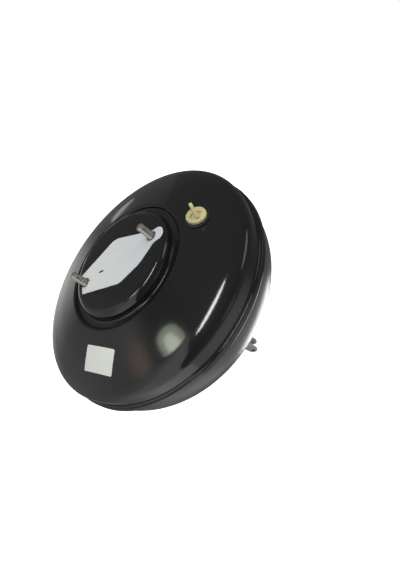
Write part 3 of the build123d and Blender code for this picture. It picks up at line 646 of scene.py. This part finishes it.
pressed = Finish("pressed_steel")
rolled = pressed.node("ShaderNodeMapping", None, {"Vector": pressed.place(), "Scale": (1, 1, 14)})
grain = pressed.noise(90, 4.0, 0.6, vector=rolled)
pressed.set(
    base_color=pressed.mix(grain, (0.40, 0.41, 0.41), (0.58, 0.58, 0.57)),
    metallic=1.0,
    roughness=0.30 + grain * 0.2,
    normal=pressed.bump(grain, 0.0002, 0.2),
)
pressed.onto("front_reinforcement_plate", "rear_reinforcement_plate")

# ---- Film over the spigot's bore ----------------------------------------------------------------
# A thin white adhesive film keeps dirt out until the master cylinder goes on. It has the
# outline of that cylinder's flange, a pull tab beyond the upper stud, and two small slits.
film_sheet = 0.0005
film_outline = [
    (0.0125, -0.0500),
    (0.0310, -0.0010),
    (0.0236, 0.0262),
    (0.0098, 0.0460),
    (0.0098, 0.0590),
    (-0.0058, 0.0590),
    (-0.0058, 0.0470),
    (-0.0310, 0.0000),
    (-0.0125, -0.0500),
]
film_rounds = [0.0145, 0.030, 0.010, 0.0068, 0.0068, 0.012, 0.016]
film_middle = -0.002
film_stud_hole = 0.0055
film_ripple = 0.00012
# The small dots and slits are round holes: (x, z, radius).
film_dots = [(0.0010, -0.0385, 0.0009), (0.0000, -0.0222, 0.0014)]
film_slit_ends = [(0.0006, -0.0200, 0.0012), (-0.0006, -0.0244, 0.0012)]


def film_face(outline, height, rows=26):
    """Rings that shrink from an outline of (x, z) to its middle, on the plateau.

    Each ring is the outline times its share. The face waves a little, by two sines that run
    across x and z at a slant, and lies flat along its edge.
    """
    share = np.linspace(1, 0, rows)[:, None]
    x = share * outline[:, 0]
    z = share * (outline[:, 1] - film_middle) + film_middle
    wave = (np.sin(x * 310 + z * 120) + np.sin(z * 260 - x * 90)) * film_ripple * (1 - share**6)
    return np.stack((x, plateau_y - height - np.maximum(wave, 0) * (height > 0), z), axis=-1)


foot = np.array([(-0.0125, -0.0500), (0.0125, -0.0500)])
film_line = rounded(film_outline, film_rounds)
film_line = np.vstack((film_line, np.linspace(foot[0], foot[1], 12)[1:-1]))
film = skin(
    "spigot_film",
    np.vstack((film_face(film_line, film_sheet)[::-1], film_face(film_line, 0.0))),
)
film_holes = [(place, film_stud_hole) for place in front_stud_places[::-1]]
film_holes += [(Vector((x, plateau_y, z)), radius) for x, z, radius in film_dots]
bored(film, film_holes, piston_axis)
for x, z, radius in film_slit_ends:
    bored(film, [(Vector((x, plateau_y, z)), radius)], piston_axis)
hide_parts("flange_film")
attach(film, "root")
film_finish = Finish("film")
# Bluer and darker towards +Z: painted shade, mixed in by each point's height on the film.
film_height = film_finish.node("ShaderNodeSeparateXYZ", None, {0: film_finish.place()}, output=2)
film_painted_shade = film_finish.node(
    "ShaderNodeMapRange", {"interpolation_type": "SMOOTHSTEP"}, {0: film_height, 1: -0.04, 2: 0.05}
)
cloud = film_finish.noise(60, 3.0, 0.6)
crinkle = film_finish.noise(420, 3.0, 0.6)
film_finish.set(
    base_color=film_finish.mix(
        cloud * 0.6,
        film_finish.mix(film_painted_shade, (0.67, 0.68, 0.67), (0.60, 0.62, 0.68)),
        (0.72, 0.73, 0.74),
    ),
    roughness=0.30 + cloud * 0.15,
    normal=film_finish.bump(crinkle + cloud, 0.0004, 0.25),
)
film_finish.onto(film)

# ---- Label ------------------------------------------------------------------------------------
# A blank paper label with a clear skin, glued to the slope of the dome.
label = Finish("label")
fibre = label.noise(900, 3.0, 0.7)
smudge = label.noise(45, 3.0, 0.6)
label.set(
    base_color=label.mix(
        fibre * 0.35,
        label.mix(smudge, (0.74, 0.76, 0.72), (0.83, 0.85, 0.81)),
        (0.64, 0.66, 0.63),
    ),
    roughness=0.34 + smudge * 0.2,
    normal=label.bump(fibre, 0.00004, 0.4),
    coat_weight=0.15 + smudge * 0.2,
)
label.onto("label")

# ---- Vacuum port ------------------------------------------------------------------------------
# A black rubber grommet snapped in the dome's hole, and the moulded cream plug that closes it
# until the vacuum hose's valve goes in. The plug is pulled out by its tab.
rubber = Finish("black_rubber")
bloom_of_rubber = rubber.noise(120, 4.0, 0.65)
speck = rubber.noise(1400, 2.0) > 0.72
rubber.set(
    base_color=rubber.mix(bloom_of_rubber * 0.8, (0.009, 0.009, 0.0095), (0.026, 0.0255, 0.025)),
    roughness=0.50 + bloom_of_rubber * 0.25 - speck * 0.1,
    normal=rubber.bump(rubber.noise(2200, 2.0), 0.00003, 0.5),
)
rubber.onto("vacuum_port_grommet", "diaphragm")

cream = Finish("cream_plastic")
flow = cream.noise(70, 3.0, 0.6)
matt = cream.noise(1500, 2.0)
grime = cream.noise(240, 4.0, 0.7)
cream.set(
    base_color=cream.mix(
        (grime > 0.62) * 0.25,
        cream.mix(flow, (0.55, 0.485, 0.25), (0.63, 0.56, 0.31)),
        (0.34, 0.28, 0.17),
    ),
    roughness=0.38 + flow * 0.2,
    normal=cream.bump(matt, 0.00003, 0.4),
)
cream.onto("vacuum_plug")

# ---- Dust boot --------------------------------------------------------------------------------
# A moulded rubber bellows over the valve body's tube. Its collar grips the casing's neck, and
# its tail grips the tube and moves with it.
boot_sheet = 0.0014
boot_collar_y = 0.008
boot_start_y = neck_end_y + boot_sheet
tube_radius = 0.0205
boot_rear_y = 0.0614
boot_end_y = boot_rear_y - 0.0065
boot_mouth = 0.012
boot_folds = 4
boot_fold_depth = 0.0065
boot_front_root = neck_radius - 0.007
boot_rear_root = tube_radius + 0.0021
boot_round = 0.0011
boot_turns = 160
fold_pitch = (boot_end_y - boot_start_y) / (boot_folds + 0.5)


def fold_line():
    """The folds' zigzag: each root steps in a share of the way from the front to the rear."""
    share = np.arange(boot_folds + 1) / boot_folds
    root_radius = boot_front_root + share * (boot_rear_root - boot_front_root)
    root_y = boot_start_y + (np.arange(boot_folds + 1) + 0.25) * fold_pitch
    corners = np.zeros((2 * boot_folds + 1, 2))
    corners[0::2] = np.column_stack((root_radius, root_y))
    corners[1::2] = np.column_stack((root_radius[:-1] + boot_fold_depth, root_y[:-1] + fold_pitch / 2))
    return corners


collar = skin(
    "dust_boot_collar",
    revolved(wall(
        rounded(
            [
                (neck_radius - 0.004, boot_start_y),
                (neck_radius + 0.0004, boot_start_y),
                (neck_radius + 0.0002, boot_collar_y + 0.0030),
                (neck_radius + 0.0014, boot_collar_y + 0.0022),
                (neck_radius + 0.0014, boot_collar_y),
            ],
            [0.0010, 0.0006, 0.0006],
        ),
        boot_sheet,
    ), boot_turns),
    rows_meet=True,
)
last_fold_radius = tube_radius + 0.0003
bellows = skin(
    "dust_boot_bellows",
    revolved(wall(
        rounded(
            np.vstack((
                [(last_fold_radius, boot_end_y + 0.0005), (last_fold_radius, boot_end_y - 0.0001)],
                fold_line()[::-1],
                [(neck_radius - 0.0012, boot_start_y)],
            )),
            [0.0002] + [boot_round] * (2 * boot_folds + 1),
        ),
        boot_sheet,
    ), boot_turns),
    rows_meet=True,
)
tail = skin(
    "dust_boot_tail",
    revolved(wall(
        rounded(
            [
                (boot_mouth, boot_rear_y - 0.0002),
                (tube_radius, boot_rear_y - 0.0002),
                (tube_radius, boot_rear_y - 0.0030),
                (tube_radius + 0.0003, boot_rear_y - 0.0040),
                (tube_radius, boot_rear_y - 0.0050),
                (tube_radius, boot_end_y),
            ],
            [0.0012, 0.0004, 0.0004, 0.0004],
        ),
        boot_sheet,
    ), boot_turns),
    rows_meet=True,
)
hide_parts("dust_boot")
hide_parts("dust_boot")
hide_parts("dust_boot")
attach(collar, "root")
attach(bellows, "root")
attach(tail, "power_piston")
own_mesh(bellows)
for boot_piece in (collar, bellows, tail):
    rubber.onto(boot_piece)

# ---- Pushrod and its fork ---------------------------------------------------------------------
# A turned and zinc plated rod: its ball is crimped in the plunger, and a locknut and the fork
# for the brake pedal's pin are screwed on its threaded end. The fork is bent from thick strip.
rod_lean = math.radians(5.3)
ball_middle = Vector((0, 0.008, 0))
ball_radius = 0.005
rod_neck_radius = 0.0032
rod_neck_end = 0.008
rod_front_radius = 0.0044
rod_step = 0.010
rod_thread_start = 0.062
rod_end = 0.0972
rod_radius = 0.005
washer_end = 0.038

ball_angle = np.linspace(0, math.pi - math.asin(rod_neck_radius / ball_radius), 24)
ball_rows = np.column_stack((
    -ball_radius * np.cos(ball_angle),
    ball_radius * np.sin(ball_angle),
    0 * ball_angle,
))
rod_rows = np.vstack((
    ball_rows,
    [
        (rod_neck_end, rod_neck_radius, 0),
        (rod_step, rod_front_radius, 0),
        (washer_end, rod_front_radius, 0),
        (washer_end, rod_radius, 0),
        (rod_thread_start - 0.001, rod_radius, 0),
    ],
    thread_run(rod_thread_start, rod_end, rod_radius, stud_chamfer),
    [(rod_end, 0, 0)],
))
rod = skin(
    "pushrod",
    threaded(rod_rows, ball_middle, Vector((0, math.cos(rod_lean), math.sin(rod_lean)))),
    crease=60,
)
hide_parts("input_rod")
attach(rod, "input_rod")
zinc.onto(rod, "lock_nut", "output_rod_adjuster")

fork_plating = Finish("fork_plating")
fork_bloom = fork_plating.noise(180, 4.0, 0.65)
fork_scuff = fork_plating.noise(900, 3.0, 0.7)
fork_plating.set(
    base_color=fork_plating.mix(fork_bloom, (0.22, 0.22, 0.21), (0.38, 0.375, 0.36)),
    metallic=0.6,
    roughness=0.42 + fork_bloom * 0.15,
    normal=fork_plating.bump(fork_scuff, 0.00006, 0.4),
)
fork_plating.onto("clevis")

# ---- Pieces inside the casing and the tube --------------------------------------------------------
# Pressed, turned and coiled steel, moulded plastics, rubber, felt and foam. They show only
# through the bores, or with the casing hidden, but each still has its own finish.
pressed.onto(
    "diaphragm_plate",
    "output_rod_retainer",
    "stop_key",
    "poppet_retainer",
    "neck_seal_ring",
    "rod_spring_seat",
)

turned_steel = Finish("turned_steel")
lathe = turned_steel.node(
    "ShaderNodeTexWave",
    {"bands_direction": "Y"},
    {"Vector": turned_steel.place(), "Scale": 900, "Distortion": 0.6},
)
tarnish = turned_steel.noise(60, 3.0, 0.6)
turned_steel.set(
    base_color=turned_steel.mix(tarnish, (0.42, 0.41, 0.39), (0.60, 0.59, 0.57)),
    metallic=1.0,
    roughness=0.22 + tarnish * 0.18,
    normal=turned_steel.bump(lathe, 0.00002, 0.3),
)
turned_steel.onto("plunger", "output_rod")

spring_steel = Finish("spring_steel")
draw_mark = spring_steel.noise(500, 3.0, 0.6)
oil = spring_steel.noise(35, 2.0)
spring_steel.set(
    base_color=spring_steel.mix(oil, (0.16, 0.15, 0.14), (0.28, 0.27, 0.26)),
    metallic=1.0,
    roughness=0.30 + draw_mark * 0.2,
    normal=spring_steel.bump(draw_mark, 0.00003, 0.3),
)
spring_steel.onto("return_spring", "poppet_spring", "rod_return_spring")

seal_rubber = Finish("seal_rubber")
seal_bloom = seal_rubber.noise(160, 3.0, 0.6)
seal_rubber.set(
    base_color=seal_rubber.mix(seal_bloom, (0.014, 0.014, 0.015), (0.035, 0.034, 0.034)),
    roughness=0.36 + seal_bloom * 0.25,
    normal=seal_rubber.bump(seal_rubber.noise(1800, 2.0), 0.00002, 0.4),
)
seal_rubber.onto("neck_seal", "reaction_disc", "poppet_valve")

for resin, light, dark, pieces in (
    ("valve_plastic", (0.055, 0.054, 0.052), (0.030, 0.030, 0.031), ["valve_body"]),
    ("bush_plastic", (0.62, 0.60, 0.54), (0.50, 0.48, 0.42), ["guide_bush"]),
):
    moulding = Finish(resin)
    fill = moulding.noise(110, 4.0, 0.6)
    moulding.set(
        base_color=moulding.mix(fill, dark, light),
        roughness=0.38 + fill * 0.2,
        normal=moulding.bump(moulding.noise(1300, 2.0), 0.00003, 0.4),
    )
    moulding.onto(*pieces)

for wool, light, dark, scale, pieces in (
    ("felt", (0.42, 0.41, 0.39), (0.24, 0.235, 0.22), 1500, ["silencer"]),
    ("foam", (0.060, 0.058, 0.054), (0.018, 0.018, 0.017), 900, ["air_filter"]),
):
    pad = Finish(wool)
    strands = pad.noise(scale, 5.0, 0.75)
    pad.set(
        base_color=pad.mix(strands, dark, light),
        roughness=0.92,
        normal=pad.bump(strands, 0.0004, 0.9),
    )
    pad.onto(*pieces)
